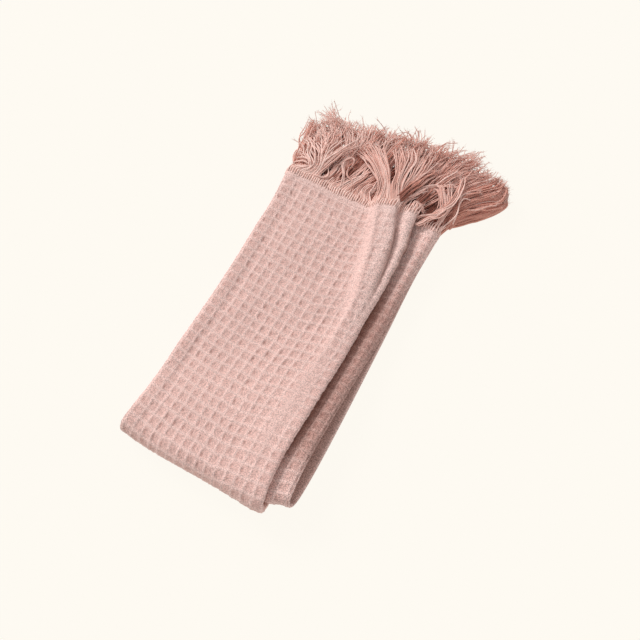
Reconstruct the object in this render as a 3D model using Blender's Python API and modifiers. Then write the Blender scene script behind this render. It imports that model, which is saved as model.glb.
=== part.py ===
# A waffle-weave cotton hand towel as it lies folded: in thirds lengthwise, then doubled crosswise, so that
# both fringed ends lie at the far end. X runs across the folded towel, Y towards the fringe, Z up.
# The cloth is one back-and-forth sheet, selvedges and end bands included. Each fringe is a narrow strip
# parted from one end of the cloth, with its locks of warp yarn fused to it.

import math
import random

import bmesh
import bpy
import numpy as np
from mathutils import Vector

MM = 0.001  # the sizes and tables below are in millimetres

# The sheet and its stack. Heights count outward from the plane on which the towel was doubled.
CLOTH_THICKNESS = 1.8
LAYER_PITCH = 2.4
INNER_LAYER = 0.5 * LAYER_PITCH
MIDDLE_LAYER = 1.5 * LAYER_PITCH
OUTER_LAYER = 2.5 * LAYER_PITCH
HALF_STACK = OUTER_LAYER + 0.5 * CLOTH_THICKNESS

# The doubled end, where the cloth turns from the upper half into the lower one
TURN_REACH = 8.0  # along the towel, from the middle of the turn to where the flat rows begin
TURN_STEPS = 8
LOOP_NARROWING = 0.38  # how much less the innermost layer's loop reaches forward than it is high
GAP_AT_LEFT = 2.4  # between the two halves beside the turn
GAP_MORE_AT_RIGHT = 5.6
GAP_FROM = 12.0  # along the towel, where the halves begin to close on each other
GAP_CLOSED_BY = 132.0  # and where they have closed at the right fold, which is soonest at the left
UPPER_LENGTH = 203.0
LOWER_LENGTH = 206.0
UPPER_ROWS = 17
LOWER_ROWS = 8

# Stations along the folded towel. "along" counts from the doubled end, positive in the upper half and
# negative in the lower one. left and fold are the outer reach of the left and right folds and edge is the
# free edge of the innermost layer. trough is the depth of the dip beside the left edge. ridge_at and
# ridge_rise place the puffed crest beside the right fold, valley_at and valley_rise the crease beyond it, and
# roll_rise rounds the fold itself. margin and rim are the heights of the strip that stands out past the fold
# and of its edge.
STATION_COLUMNS = ("along", "left", "trough", "ridge_at", "ridge_rise", "valley_at", "valley_rise",
                   "roll_rise", "fold", "margin", "rim", "edge")
STATIONS = (
    (-206.0, 1.2, 0.0, 70.0, 0.0, 80.0, 0.0, 0.0, 91.0, 1.6, 2.2, 109.4),
    (-165.0, 2.0, 0.0, 70.0, 0.0, 80.0, 0.0, 0.0, 91.4, 1.8, 2.8, 107.2),
    (-115.0, 2.4, 0.0, 70.0, 0.0, 80.0, 0.0, 0.0, 91.5, 1.9, 3.4, 107.0),
    (-45.0, 1.0, 0.0, 70.0, 0.0, 80.0, 0.0, 0.0, 90.0, 2.2, 4.2, 106.0),
    (-12.0, -0.8, 0.0, 70.0, 0.0, 80.0, 0.0, 0.0, 89.8, 1.8, 3.2, 104.6),
    (0.0, -1.2, 0.0, 70.0, 0.0, 80.0, 0.0, 0.0, 90.4, 1.3, 1.6, 102.6),
    (12.0, -0.2, 0.3, 71.0, 0.2, 80.0, 0.0, 0.0, 88.6, 1.9, 1.4, 101.6),
    (28.0, 1.2, 0.5, 72.0, 0.3, 80.0, 0.0, 0.2, 88.0, 2.4, 1.2, 101.2),
    (60.0, 1.6, 0.6, 76.0, 0.5, 84.0, 0.3, 0.4, 90.0, 2.6, 0.8, 102.4),
    (95.0, 3.0, 0.6, 81.5, 1.0, 87.0, 0.6, 0.5, 92.0, 2.8, 0.6, 104.4),
    (125.0, 3.1, 0.6, 85.0, 2.4, 90.2, 1.1, 0.8, 92.6, 3.2, 0.6, 106.6),
    (150.0, 2.7, 0.6, 82.0, 4.0, 89.8, 0.8, 1.4, 93.8, 3.8, 0.8, 107.1),
    (175.0, 2.5, 0.6, 77.5, 5.2, 86.2, 0.5, 2.4, 94.4, 4.4, 1.0, 107.6),
    (203.0, 0.4, 0.4, 70.5, 6.0, 79.4, 0.2, 3.2, 91.4, 4.8, 1.4, 109.8),
)
CREST_HALF_WIDTH = 1.8
RIDGE_FOOT = 8.0  # from the crest's middle to the crease at its left

# Places across the towel, with a distance along it: the middle of the doubled end's turn, the end line of
# the upper half's outer layer, that of the two layers under it, and that of the lower half.
TURN_LINE = ((-2.0, 6.8), (10.0, 5.4), (20.0, 4.6), (35.0, 4.2), (60.0, 3.9), (90.0, 3.0), (97.0, 5.6), (104.0, 7.2))
UPPER_END = ((0.0, 198.0), (40.0, 195.4), (60.0, 194.6), (74.0, 198.6), (90.0, 202.0), (112.0, 197.0))
INNER_END = ((0.0, 198.0), (90.0, 199.0), (112.0, 197.0))
LOWER_END = ((0.0, 203.0), (60.0, 205.0), (112.0, 202.0))

# The fringe. FAN says how its locks spread from places across the towel: heading in degrees from straight
# on, positive to the right, and length as a share of LOCK_LENGTH.
PARTING = 0.3  # between the cloth's end and the strip
STRIP_DEPTH = 2.4
LOCK_LENGTH = 62.0
LOCK_WIDTH = 1.9
LOCK_DEPTH = 1.5
LOCK_TAPER = 0.55
LOCK_SEGMENTS = 3
WIDEST_SHARE = 0.62  # of its root, that a lock may be wide
NARROWEST_ROOT = 2.0  # a rim face narrower than this carries no lock
STEEPEST_ROOT = 0.5  # nor does one that leans more than this, as a sine
HEADING_SPREAD = 0.8  # degrees either way
SHORTEST_LOCK = 0.93  # as a share of its length
TOP_LAYER_ABOVE = 12.0  # locks rooted higher than this are the top ones, which puff up
TOP_LIFT = (0.5, 6.5)
UPPER_SINK = 0.12  # how far a lock's tip sinks, as a share of its root's height
LOWER_SINK = 0.28
FRINGE_SEED = 7
FAN = ((0.0, -13.0, 0.92), (25.0, 1.0, 0.98), (50.0, 11.0, 1.1), (72.0, 20.0, 1.15), (90.0, 30.0, 1.02),
       (104.0, 43.0, 0.84), (111.0, 50.0, 0.72))

CLOTH_COLOUR = (0.695, 0.451, 0.407, 1.0)
FRINGE_COLOUR = (0.558, 0.287, 0.246, 1.0)
COTTON_ROUGHNESS = 0.95

CLOTH, STRIP = 0, 1  # which steps a section is sampled with


def clear_scene():
    for obj in list(bpy.data.objects):
        bpy.data.objects.remove(obj, do_unlink=True)


def eased(part):
    """0 to 1 with a soft start and end."""
    part = np.clip(part, 0.0, 1.0)
    return part * part * (3 - 2 * part)


def smooth_through(knots, values, at):
    """A smooth curve through the values, level at both ends."""
    knots, values = np.asarray(knots, float), np.asarray(values, float)
    slopes = np.zeros(len(knots))
    slopes[1:-1] = (values[2:] - values[:-2]) / (knots[2:] - knots[:-2])
    at = np.clip(at, knots[0], knots[-1])
    left = np.clip(np.searchsorted(knots, at, side="right") - 1, 0, len(knots) - 2)
    span = knots[left + 1] - knots[left]
    part = (at - knots[left]) / span
    near = (1 + 2 * part) * (1 - part) ** 2 * values[left] + part * (1 - part) ** 2 * span * slopes[left]
    far = part**2 * (3 - 2 * part) * values[left + 1] + part**2 * (part - 1) * span * slopes[left + 1]
    return near + far


def from_table(table, column, at):
    return smooth_through([row[0] for row in table], [row[column] for row in table], at)


def station_at(along):
    """The section's named sizes at one place along the folded towel."""
    return {name: float(from_table(STATIONS, column, along)) for column, name in enumerate(STATION_COLUMNS)}


def turn(outermost, height_from, height_to, side):
    """Five points round a fold that joins two layers, with its outermost point where it is told."""
    radius = 0.5 * abs(height_from - height_to)
    middle = 0.5 * (height_from + height_to)
    angles = [math.radians(degrees) for degrees in (90, 45, 0, -45, -90)]
    return [(outermost - side * radius * (1 - math.cos(angle)), middle + radius * math.sin(angle))
            for angle in angles]


def section_points(size):
    """Control points of one cross-section from the top layer's left edge, over the right fold, back to the
    left fold and out to the free edge. Each is (across, height, steps to the next, steps in the strip)."""
    left, fold, edge = size["left"], size["fold"], size["edge"]
    ridge, ridge_height = size["ridge_at"], OUTER_LAYER + size["ridge_rise"]
    crease = ridge - RIDGE_FOOT
    valley = size["valley_at"]
    roll = OUTER_LAYER + size["roll_rise"]
    middle = 0.5 * (left + fold)
    rows = [
        (left + 0.3, OUTER_LAYER - 0.6 * size["trough"], 1, 1),
        (left + 4.0, OUTER_LAYER + 0.6 * size["trough"], 2, 2),
        (left + 11.0, OUTER_LAYER - 0.5 * size["trough"], 2, 3),
        (left + 20.0, OUTER_LAYER, 3, 7),
        (0.5 * (left + crease) + 6.0, OUTER_LAYER, 3, 6),
        (crease, OUTER_LAYER, 2, 2),
        (ridge - CREST_HALF_WIDTH, ridge_height, 1, 1),
        (ridge + CREST_HALF_WIDTH, ridge_height, 2, 2),
        (valley, OUTER_LAYER + size["valley_rise"], 2, 1),
        (valley + 0.58 * (fold - valley), roll, 2, 2),
    ]
    rows += [(x, h, 1, 1) for x, h in turn(fold, roll, MIDDLE_LAYER, 1.0)[1:4]]
    rows += [
        (fold - 3.0, MIDDLE_LAYER, 4, 12),
        (middle, MIDDLE_LAYER, 4, 14),
    ]
    left_turn = turn(left, MIDDLE_LAYER, INNER_LAYER, -1.0)
    rows += [(x, h, 1, 1) for x, h in left_turn[:-1]]
    rows += [
        (*left_turn[-1], 4, 14),
        (middle, INNER_LAYER, 4, 14),
        (fold - 2.0, INNER_LAYER, 2, 2),
        (0.5 * (fold + edge), 0.2 * INNER_LAYER + 0.8 * size["margin"], 2, 2),
        (edge - 4.0, size["margin"], 2, 1),
        (edge, size["rim"], 0, 0),
    ]
    return rows


def section_curve(along, steps):
    """One cross-section as arrays of places across and heights, smooth through its control points."""
    rows = section_points(station_at(along))
    keys = np.array([row[:2] for row in rows])
    knots = np.concatenate([[0.0], np.cumsum(np.sqrt(np.hypot(*np.diff(keys, axis=0).T)))])
    places = [np.linspace(knots[i], knots[i + 1], row[2 + steps], endpoint=False)
              for i, row in enumerate(rows[:-1])]
    places = np.concatenate([*places, knots[-1:]])
    return smooth_through(knots, keys[:, 0], places), smooth_through(knots, keys[:, 1], places)


def gap_at(across, along):
    """How far the upper half stands off the lower one: most at the right of the doubled end."""
    share = np.clip(across / 100.0, 0.0, 1.1)
    closed_by = GAP_CLOSED_BY * (0.35 + 0.65 * np.clip(across / 90.0, 0.0, 1.0))
    return (GAP_AT_LEFT + GAP_MORE_AT_RIGHT * share**1.5) * (1 - eased((along - GAP_FROM) / (closed_by - GAP_FROM)))


def upper_end(across, height):
    """Where the upper half's cloth ends: the outer layer on its own line, the two under it on another."""
    outer = np.clip((height - MIDDLE_LAYER) / LAYER_PITCH, 0.0, 1.0)
    inner_end = from_table(INNER_END, 1, across)
    return inner_end + outer * (from_table(UPPER_END, 1, across) - inner_end)


def upper_row(share, steps=CLOTH):
    """Points of one row of the upper half: share 0 is beside the turn, 1 the end of the cloth."""
    across, height = section_curve(TURN_REACH + share * (UPPER_LENGTH - TURN_REACH), steps)
    start = from_table(TURN_LINE, 1, across)
    along = start + share * (upper_end(across, height) - start)
    return np.stack([across, along, HALF_STACK + gap_at(across, along) + height], axis=1)


def lower_row(share, steps=CLOTH):
    """The same for the lower half, whose outer layer lies flat on the table."""
    across, height = section_curve(-TURN_REACH - share * (LOWER_LENGTH - TURN_REACH), steps)
    start = from_table(TURN_LINE, 1, across)
    along = start + share * (from_table(LOWER_END, 1, across) - start)
    return np.stack([across, along, HALF_STACK - np.minimum(height, OUTER_LAYER)], axis=1)


def turn_row(degrees):
    """One row round the doubled end: 90 degrees is its top, -90 its underside."""
    across, height = section_curve(degrees / 90.0 * TURN_REACH, CLOTH)
    half_gap = 0.5 * gap_at(across, 0.0)
    tall = half_gap + height
    forward = tall * (1 - LOOP_NARROWING * (1 - np.clip(height / OUTER_LAYER, 0.0, 1.0)))
    angle = math.radians(degrees)
    along = from_table(TURN_LINE, 1, across) - forward * math.cos(angle)
    high = HALF_STACK + half_gap + tall * math.sin(angle)
    return np.stack([across, along, np.maximum(high, 0.5 * CLOTH_THICKNESS)], axis=1)


def cloth_rows():
    """Every row of the sheet's middle surface, from the upper end round the turn to the lower end."""
    upper = [upper_row(share) for share in np.linspace(1, 0, UPPER_ROWS + 1)]
    turning = [turn_row(90.0 - 180.0 * step / TURN_STEPS) for step in range(1, TURN_STEPS)]
    lower = [lower_row(share) for share in np.linspace(0, 1, LOWER_ROWS + 1)]
    return upper + turning + lower


def strip_rows(end_row):
    """The two rows of the strip parted from the end of the cloth."""
    return [end_row + (0.0, depth, 0.0) for depth in (PARTING, PARTING + STRIP_DEPTH)]


def sheet_object(name, rows, material, collection):
    """An open surface through the rows, given the cloth's thickness by Solidify."""
    work = bmesh.new()
    grid = [[work.verts.new(point * MM) for point in row] for row in rows]
    for near, far in zip(grid, grid[1:]):
        for corners in zip(near, near[1:], far[1:], far):
            work.faces.new(corners)
    mesh = bpy.data.meshes.new(name)
    work.to_mesh(mesh)
    work.free()
    mesh.materials.append(material)
    obj = bpy.data.objects.new(name, mesh)
    collection.objects.link(obj)
    solid = obj.modifiers.new("thickness", "SOLIDIFY")
    solid.thickness = CLOTH_THICKNESS * MM
    solid.offset = 0.0
    solid.use_even_offset = False
    return obj


def lock_rings(root, sink, draw):
    """The middle, heading and half depth of each ring of one lock. It leaves its root, bends to its heading
    and sinks a little. A lock of the lowest layer lies level on the table from its root on."""
    x, y, z = root
    heading = math.radians(from_table(FAN, 1, x) + draw.uniform(-HEADING_SPREAD, HEADING_SPREAD))
    length = LOCK_LENGTH * from_table(FAN, 2, x) * draw.uniform(SHORTEST_LOCK, 1.0)
    drop = sink * z + draw.uniform(-0.2, 0.2)
    lift = draw.uniform(*TOP_LIFT) if z > TOP_LAYER_ABOVE else 0.0
    bend = 1.3 - 0.5 * min(max(heading, 0.0), 0.8) / 0.8
    rings, last = [], (x, y)
    for step in range(1, LOCK_SEGMENTS + 1):
        part = step / LOCK_SEGMENTS
        thin = 1 - (1 - LOCK_TAPER) * (step - 1) / (LOCK_SEGMENTS - 1)
        half_depth = 0.5 * LOCK_DEPTH * thin
        high = z - drop * part**1.5 + lift * math.sin(2.4 * part)
        if z < CLOTH_THICKNESS:
            high = half_depth
        place = (x + length * math.sin(heading) * part**bend, y + length * math.cos(heading) * part)
        facing = math.atan2(place[0] - last[0], place[1] - last[1])
        rings.append(((*place, high), facing, thin, half_depth))
        last = place
    return rings


def grow_lock(work, face, across, rings):
    """Extrudes one rim face of the strip through the rings."""
    centre = face.calc_center_median()
    up = across.cross(face.normal)
    up = up if up.z > 0 else -up
    sides = [(math.copysign(1, (v.co - centre).dot(across)), math.copysign(1, (v.co - centre).dot(up)))
             for v in face.verts]
    half_width = 0.5 * min(LOCK_WIDTH, WIDEST_SHARE * max(e.calc_length() for e in face.edges) / MM)
    for (x, y, z), facing, thin, half_depth in rings:
        face = bmesh.ops.extrude_discrete_faces(work, faces=[face])["faces"][0]
        for vert, (side, rise) in zip(face.verts, sides):
            out = side * half_width * thin
            vert.co = (
                (x + out * across.x * math.cos(facing)) * MM,
                (y - out * math.sin(facing)) * MM,
                (z + rise * half_depth) * MM,
            )


def grow_locks(obj, sink, seed):
    """Grows the locks from the far rim of the strip, one from each rim face that is wide and level enough."""
    graph = bpy.context.evaluated_depsgraph_get()
    mesh = bpy.data.meshes.new_from_object(obj.evaluated_get(graph))
    obj.modifiers.clear()
    work = bmesh.new()
    work.from_mesh(mesh)
    work.normal_update()
    rim = [face for face in work.faces if face.normal.y > 0.8]
    rim.sort(key=lambda face: [round(c / MM, 2) for c in face.calc_center_median().zx])
    draw = random.Random(seed)
    for face in rim:
        longest = max(face.edges, key=lambda e: e.calc_length())
        across = (longest.verts[1].co - longest.verts[0].co).normalized()
        across = across if across.x > 0 else -across
        if longest.calc_length() < NARROWEST_ROOT * MM or abs(across.z) > STEEPEST_ROOT:
            continue
        root = [c / MM for c in face.calc_center_median()]
        grow_lock(work, face, across, lock_rings(root, sink, draw))
    work.to_mesh(mesh)
    work.free()
    obj.data = mesh


def cotton(name, colour):
    material = bpy.data.materials.new(name)
    material.use_nodes = True
    shader = material.node_tree.nodes["Principled BSDF"]
    shader.inputs["Base Color"].default_value = colour
    shader.inputs["Roughness"].default_value = COTTON_ROUGHNESS
    shader.inputs["Metallic"].default_value = 0.0
    return material


def move_to_origin(objects):
    """Shifts the meshes so that the middle of the whole towel's base is at the origin."""
    corners = np.array([corner for obj in objects for corner in obj.bound_box])
    low, high = corners.min(axis=0), corners.max(axis=0)
    for obj in objects:
        for vert in obj.data.vertices:
            vert.co -= Vector((0.5 * (low[0] + high[0]), 0.5 * (low[1] + high[1]), low[2]))


def main():
    clear_scene()
    towel = bpy.data.collections.new("folded_hand_towel")
    bpy.context.scene.collection.children.link(towel)
    waffle, yarn = cotton("waffle_cotton", CLOTH_COLOUR), cotton("fringe_cotton", FRINGE_COLOUR)
    cloth = sheet_object("towel_cloth", cloth_rows(), waffle, towel)
    upper = sheet_object("fringe_upper", strip_rows(upper_row(1.0, STRIP)), yarn, towel)
    lower = sheet_object("fringe_lower", strip_rows(lower_row(1.0, STRIP)), yarn, towel)
    bpy.context.view_layer.update()
    grow_locks(upper, UPPER_SINK, FRINGE_SEED)
    grow_locks(lower, LOWER_SINK, FRINGE_SEED + 1)
    bpy.context.view_layer.update()
    move_to_origin((cloth, upper, lower))


main()
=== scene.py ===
import math

import bmesh
import bpy
import numpy as np
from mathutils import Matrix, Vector


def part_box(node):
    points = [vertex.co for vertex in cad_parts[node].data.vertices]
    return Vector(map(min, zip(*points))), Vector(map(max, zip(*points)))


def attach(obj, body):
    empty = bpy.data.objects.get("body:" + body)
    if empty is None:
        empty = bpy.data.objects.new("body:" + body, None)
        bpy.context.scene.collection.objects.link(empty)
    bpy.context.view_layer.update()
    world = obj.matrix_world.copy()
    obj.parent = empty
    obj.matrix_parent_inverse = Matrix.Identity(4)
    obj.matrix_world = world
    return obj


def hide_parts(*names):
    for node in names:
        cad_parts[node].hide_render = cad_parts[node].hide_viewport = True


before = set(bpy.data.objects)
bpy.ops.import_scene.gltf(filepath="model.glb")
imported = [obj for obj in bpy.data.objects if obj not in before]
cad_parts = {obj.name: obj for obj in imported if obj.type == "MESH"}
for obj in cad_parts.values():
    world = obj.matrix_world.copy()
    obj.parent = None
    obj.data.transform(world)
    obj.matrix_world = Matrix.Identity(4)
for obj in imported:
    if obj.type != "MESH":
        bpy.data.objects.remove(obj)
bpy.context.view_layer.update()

# A waffle-weave cotton hand towel with fringed ends, folded in thirds and then doubled crosswise.
mm = 0.001  # every size and table below is in millimetres unless its name or a note says otherwise

# The towel's own frame starts at the near left corner of its top layer. This brings it to the solids' frame.
nearCornerOfCloth = (-2.12, -7.44)
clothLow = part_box("towel_cloth")[0]
towelShift = np.array([clothLow.x / mm - nearCornerOfCloth[0], clothLow.y / mm - nearCornerOfCloth[1], 0.0])


def linear(hexColour):
    parts = [int(hexColour[i:i + 2], 16) / 255 for i in (1, 3, 5)]
    return (*[c / 12.92 if c <= 0.04045 else ((c + 0.055) / 1.055) ** 2.4 for c in parts], 1.0)


def addNode(tree, kind, inputs=None, **settings):
    # A node given as an input stands for its first output
    node = tree.nodes.new(kind)
    for name, value in settings.items():
        setattr(node, name, value)
    for name, value in (inputs or {}).items():
        if isinstance(value, bpy.types.Node):
            value = value.outputs[0]
        if isinstance(value, bpy.types.NodeSocket):
            tree.links.new(value, node.inputs[name])
        else:
            node.inputs[name].default_value = value
    return node


def addObject(name, data):
    made = bpy.data.objects.new(name, data)
    bpy.context.scene.collection.objects.link(made)
    return made


def addValues(mesh, name, values):
    mesh.attributes.new(name, "FLOAT", "POINT").data.foreach_set("value", values)


def eased(part):
    part = np.clip(part, 0.0, 1.0)
    return part * part * (3 - 2 * part)


def smoothThrough(knots, values, at, openEnds=False):
    # A smooth curve through the knots. It ends level, or with openEnds as it runs there.
    knots, values = np.asarray(knots, float), np.asarray(values, float)
    slopes = np.zeros(len(knots))
    slopes[1:-1] = (values[2:] - values[:-2]) / (knots[2:] - knots[:-2])
    if openEnds:
        slopes[[0, -1]] = (values[[1, -1]] - values[[0, -2]]) / (knots[[1, -1]] - knots[[0, -2]])
    at = np.clip(at, knots[0], knots[-1])
    left = np.clip(np.searchsorted(knots, at, side="right") - 1, 0, len(knots) - 2)
    span = knots[left + 1] - knots[left]
    part = (at - knots[left]) / span
    near = (1 + 2 * part) * (1 - part) ** 2 * values[left] + part * (1 - part) ** 2 * span * slopes[left]
    far = part**2 * (3 - 2 * part) * values[left + 1] + part**2 * (part - 1) * span * slopes[left + 1]
    return near + far


def runningSum(steps):
    return np.concatenate([[0.0], np.cumsum(steps)])


def pathAt(path, knots, at):
    return np.stack([np.interp(at, knots, values) for values in path.T], axis=1)


def evenly(path, count):
    gone = runningSum(np.linalg.norm(np.diff(path, axis=0), axis=1))
    return pathAt(path, gone, np.linspace(0, gone[-1], count))


def evenCurve(points, count, samples, openEnds=False, apart=0.0):
    # Places at even distances along a smooth curve. apart keeps points that coincide from sharing a knot.
    points = np.asarray(points, float)
    knots = runningSum(np.sqrt(np.linalg.norm(np.diff(points, axis=0), axis=1)) + apart)
    at = np.linspace(0, knots[-1], samples)
    line = np.stack([smoothThrough(knots, values, at, openEnds) for values in points.T], axis=1)
    return evenly(line, count)


def fromTable(table, column, at):
    return smoothThrough([row[0] for row in table], [row[column] for row in table], at)


def blended(corner, partX, partY):
    near = corner(0, 0) * (1 - partX) + corner(1, 0) * partX
    far = corner(0, 1) * (1 - partX) + corner(1, 1) * partX
    return near * (1 - partY) + far * partY


def softNoise(across, along, size, seed):
    draw = np.random.default_rng(seed).uniform(-1, 1, (97, 97))
    x, y = np.asarray(across) / size + 11.3, np.asarray(along) / size + 17.9
    x0, y0 = np.floor(x).astype(int), np.floor(y).astype(int)
    return blended(lambda i, j: draw[(x0 + i) % 97, (y0 + j) % 97], eased(x - x0), eased(y - y0))


# The folds, as in the towel's solid
folds = {
    "thickness": 1.8, "pitch": 2.4, "turnReach": 8.0, "loopNarrowing": 0.38,
    "gapAtLeft": 2.4, "gapMoreAtRight": 5.6, "gapFrom": 12.0, "gapClosedBy": 132.0,
    "upperLength": 203.0, "lowerLength": 206.0, "crestHalfWidth": 1.0, "ridgeFoot": 7.5, "shoulder": 3.2,
}
innerLayer, middleLayer, outerLayer = (k * folds["pitch"] for k in (0.5, 1.5, 2.5))
halfStack = outerLayer + 0.5 * folds["thickness"]
stationColumns = ("along", "left", "trough", "ridgeAt", "ridgeRise", "valleyAt", "valleyRise",
                  "rollRise", "fold", "margin", "rim", "edge")
stations = (
    (-206.0, 1.2, 0.0, 70.0, 0.0, 80.0, 0.0, 0.0, 91.0, 1.6, 2.2, 109.4),
    (-165.0, 2.0, 0.0, 70.0, 0.0, 80.0, 0.0, 0.0, 91.4, 1.8, 2.8, 107.2),
    (-115.0, 2.4, 0.0, 70.0, 0.0, 80.0, 0.0, 0.0, 91.5, 1.9, 3.4, 107.0),
    (-45.0, 1.0, 0.0, 70.0, 0.0, 80.0, 0.0, 0.0, 90.0, 2.2, 4.2, 106.0),
    (-12.0, -0.8, 0.0, 70.0, 0.0, 80.0, 0.0, 0.0, 89.8, 1.8, 3.2, 104.6),
    (0.0, -1.2, 0.0, 70.0, 0.0, 80.0, 0.0, 0.0, 90.4, 1.3, 1.6, 102.6),
    (12.0, -0.2, 0.3, 71.0, 0.2, 80.0, 0.0, 0.0, 88.6, 1.9, 1.4, 101.6),
    (28.0, 1.2, 0.5, 72.0, 0.3, 80.0, 0.0, 0.2, 88.0, 2.4, 1.2, 101.2),
    (60.0, 1.6, 0.6, 76.0, 0.5, 84.0, 0.3, 0.4, 90.0, 2.6, 0.8, 102.4),
    (95.0, 3.0, 0.6, 81.5, 1.0, 87.0, 0.6, 0.5, 92.0, 2.8, 0.6, 104.4),
    (125.0, 3.1, 0.6, 83.0, 2.4, 90.2, 1.1, 0.8, 92.6, 3.2, 0.6, 106.6),
    (150.0, 2.7, 0.6, 79.0, 4.0, 89.8, 0.8, 1.4, 93.8, 3.8, 0.8, 107.1),
    (175.0, 2.5, 0.6, 74.3, 4.8, 86.2, 0.5, 2.4, 94.4, 4.4, 1.0, 107.6),
    (203.0, 0.4, 0.4, 67.5, 4.7, 79.4, 0.2, 3.2, 91.4, 4.8, 1.4, 109.8),
)
# Places across the towel, and how far along it the doubled end turns and its layers end
turnLine = ((-2.0, 6.8), (10.0, 5.4), (20.0, 4.6), (35.0, 4.2), (60.0, 3.9), (90.0, 3.0), (97.0, 5.6),
            (104.0, 7.2))
upperEndLine = ((0.0, 198.0), (40.0, 195.4), (60.0, 194.6), (74.0, 198.6), (90.0, 202.0), (112.0, 197.0))
innerEndLine = ((0.0, 198.0), (90.0, 199.0), (112.0, 197.0))
lowerEndLine = ((0.0, 203.0), (60.0, 205.0), (112.0, 202.0))


def turnPoints(outermost, heightFrom, heightTo, side):
    radius, middle = 0.5 * abs(heightFrom - heightTo), 0.5 * (heightFrom + heightTo)
    angles = [math.radians(degrees) for degrees in (90, 45, 0, -45, -90)]
    return [(outermost - side * radius * (1 - math.cos(a)), middle + radius * math.sin(a)) for a in angles]


def sectionPoints(along):
    size = {name: float(fromTable(stations, i, along)) for i, name in enumerate(stationColumns)}
    left, fold, edge, trough = size["left"], size["fold"], size["edge"], size["trough"]
    fold += 0.7 * float(softNoise(0.0, along, 7.0, 12)) * eased((abs(along) - 100.0) / 30.0)
    ridge, ridgeHeight = size["ridgeAt"], outerLayer + size["ridgeRise"]
    crease, valley = ridge - folds["ridgeFoot"], size["valleyAt"]
    steep = eased((along - 140.0) / 40.0)
    flatTop = 0.78 + 0.32 * eased((along - 130.0) / 60.0)  # how level the ridge's top runs to the valley
    roll, middle = outerLayer + size["rollRise"], 0.5 * (left + fold)
    points = [(left + 0.3, outerLayer - 0.6 * trough), (left + 4.0, outerLayer + 0.9 * trough),
              (left + 11.0, outerLayer - 0.55 * trough), (left + 19.0, outerLayer + 0.1 * trough),
              (0.5 * (left + crease) + 6.0, outerLayer), (crease, outerLayer),
              (ridge - folds["crestHalfWidth"], ridgeHeight), (ridge + folds["crestHalfWidth"], ridgeHeight),
              (valley - folds["shoulder"] * (1 - 0.45 * steep),
               outerLayer + (1 - flatTop) * size["valleyRise"] + flatTop * size["ridgeRise"]),
              (valley, outerLayer + size["valleyRise"]), (valley + 0.58 * (fold - valley), roll)]
    points += turnPoints(fold, roll, middleLayer, 1.0)[1:4]
    points += [(fold - 3.0, middleLayer), (middle, middleLayer)]
    points += turnPoints(left, middleLayer, innerLayer, -1.0)
    points += [(middle, innerLayer), (fold - 2.0, innerLayer),
               (0.5 * (fold + edge), 0.2 * innerLayer + 0.8 * size["margin"]),
               (edge - 4.0, size["margin"]), (edge, size["rim"])]
    return np.array(points)


sectionSamples = 640


def sectionLine(along):
    return evenCurve(sectionPoints(along), sectionSamples, 1500).T


def gapAt(across, along):
    share = np.clip(across / 100.0, 0.0, 1.1)
    closedBy = folds["gapClosedBy"] * (0.35 + 0.65 * np.clip(across / 90.0, 0.0, 1.0))
    gap = folds["gapAtLeft"] + folds["gapMoreAtRight"] * share**1.5
    return gap * (1 - eased((along - folds["gapFrom"]) / (closedBy - folds["gapFrom"])))


def upperRow(share):
    reach = folds["turnReach"]
    across, height = sectionLine(reach + share * (folds["upperLength"] - reach))
    start = fromTable(turnLine, 1, across)
    outer = np.clip((height - middleLayer) / folds["pitch"], 0.0, 1.0)
    innerEnd = fromTable(innerEndLine, 1, across)
    end = innerEnd + outer * (fromTable(upperEndLine, 1, across) - innerEnd)
    along = start + share * (end - start)
    return np.stack([across, along, halfStack + gapAt(across, along) + height], axis=1)


def lowerRow(share):
    reach = folds["turnReach"]
    across, height = sectionLine(-reach - share * (folds["lowerLength"] - reach))
    start = fromTable(turnLine, 1, across)
    along = start + share * (fromTable(lowerEndLine, 1, across) - start)
    return np.stack([across, along, halfStack - np.minimum(height, outerLayer)], axis=1)


def turnRow(degrees):
    across, height = sectionLine(degrees / 90.0 * folds["turnReach"])
    halfGap = 0.5 * gapAt(across, 0.0)
    tall = halfGap + height
    forward = tall * (1 - folds["loopNarrowing"] * (1 - np.clip(height / outerLayer, 0.0, 1.0)))
    angle = math.radians(degrees)
    along = fromTable(turnLine, 1, across) - forward * math.cos(angle)
    high = halfStack + halfGap + tall * math.sin(angle)
    return np.stack([across, along, np.maximum(high, 0.5 * folds["thickness"])], axis=1)


alongSamples = 1400


def foldedSurface():
    rows = [upperRow(share) for share in np.linspace(1, 0, 110)]
    rows += [turnRow(90.0 - 180.0 * step / 40) for step in range(1, 40)]
    rows += [lowerRow(share) for share in np.linspace(0, 1, 60)]
    rows = np.array(rows)
    return np.stack([evenly(rows[:, i], alongSamples) for i in range(sectionSamples)], axis=1)


surface = foldedSurface()
print("folds laid out")

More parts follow.
